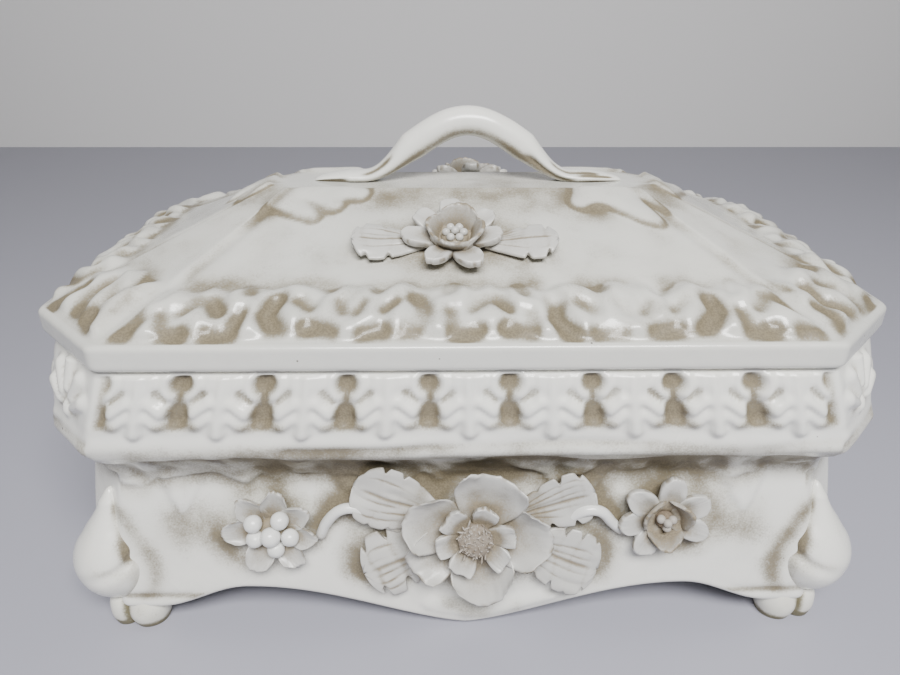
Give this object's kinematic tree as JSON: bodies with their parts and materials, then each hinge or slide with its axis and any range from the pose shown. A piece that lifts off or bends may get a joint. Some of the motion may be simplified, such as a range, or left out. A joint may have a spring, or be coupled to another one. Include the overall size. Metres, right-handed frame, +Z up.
{
  "type": "lidded ceramic trinket box",
  "caption": "Footed ceramic trinket box with a lift-off hipped lid, an arched branch handle, corner scrolls and applied blossoms on walls and lid.",
  "frame": {"origin": "middle of the plan, on the surface that the box rests on", "axes": "+X along the length to the right, +Y towards the back, +Z up"},
  "size_m": [0.302, 0.1996, 0.1826],
  "materials": {
    "ivory_glaze": "gloss ivory glaze with an umber wash in the hollows",
    "petals": "satin glaze, grey and umber in the folds",
    "small_trim": "gloss ivory glaze",
    "stamens": "matt umber wash",
    "washed_foot": "glaze with a dark wash at the base"
  },
  "bodies": {
    "box": {"box_body": "ivory_glaze", "foot_front_left": "washed_foot", "foot_front_right": "washed_foot", "foot_back_left": "washed_foot", "foot_back_right": "washed_foot", "corner_scroll_front_left": "ivory_glaze", "corner_scroll_front_right": "ivory_glaze", "corner_scroll_back_left": "ivory_glaze", "corner_scroll_back_right": "ivory_glaze", "front_blossom_outer_petals": "petals", "front_blossom_inner_petals": "petals", "front_blossom_stamens": "stamens", "front_leaf_upper_left": "petals", "front_leaf_upper_right": "petals", "front_leaf_lower_left": "petals", "front_leaf_lower_right": "petals", "front_stem_left": "small_trim", "front_stem_right": "small_trim", "front_left_blossom_petals": "petals", "front_left_blossom_berries": "small_trim", "front_right_blossom_petals": "petals", "front_right_bud_petals": "petals", "front_right_bud_beads": "stamens", "back_blossom_outer_petals": "petals", "back_blossom_inner_petals": "petals", "back_blossom_stamens": "stamens", "back_leaf_upper_left": "petals", "back_leaf_upper_right": "petals", "back_leaf_lower_left": "petals", "back_leaf_lower_right": "petals", "back_stem_left": "small_trim", "back_stem_right": "small_trim", "back_left_blossom_petals": "petals", "back_left_blossom_berries": "small_trim", "back_right_blossom_petals": "petals", "back_right_bud_petals": "petals", "back_right_bud_beads": "stamens"},
    "lid": {"lid_shell": "ivory_glaze", "handle": "ivory_glaze", "lid_front_blossom_petals": "petals", "lid_front_bud": "petals", "lid_front_bud_beads": "stamens", "lid_front_leaf_left": "petals", "lid_front_leaf_right": "petals", "lid_back_blossom_petals": "petals", "lid_back_bud": "petals", "lid_back_bud_beads": "stamens", "lid_back_leaf_left": "petals", "lid_back_leaf_right": "petals"}
  },
  "joints": [
    {"name": "lid_lift", "type": "slide", "parent": "box", "child": "lid", "axis": [0, 0, 1], "range_m": [0, 0.15]}
  ]
}
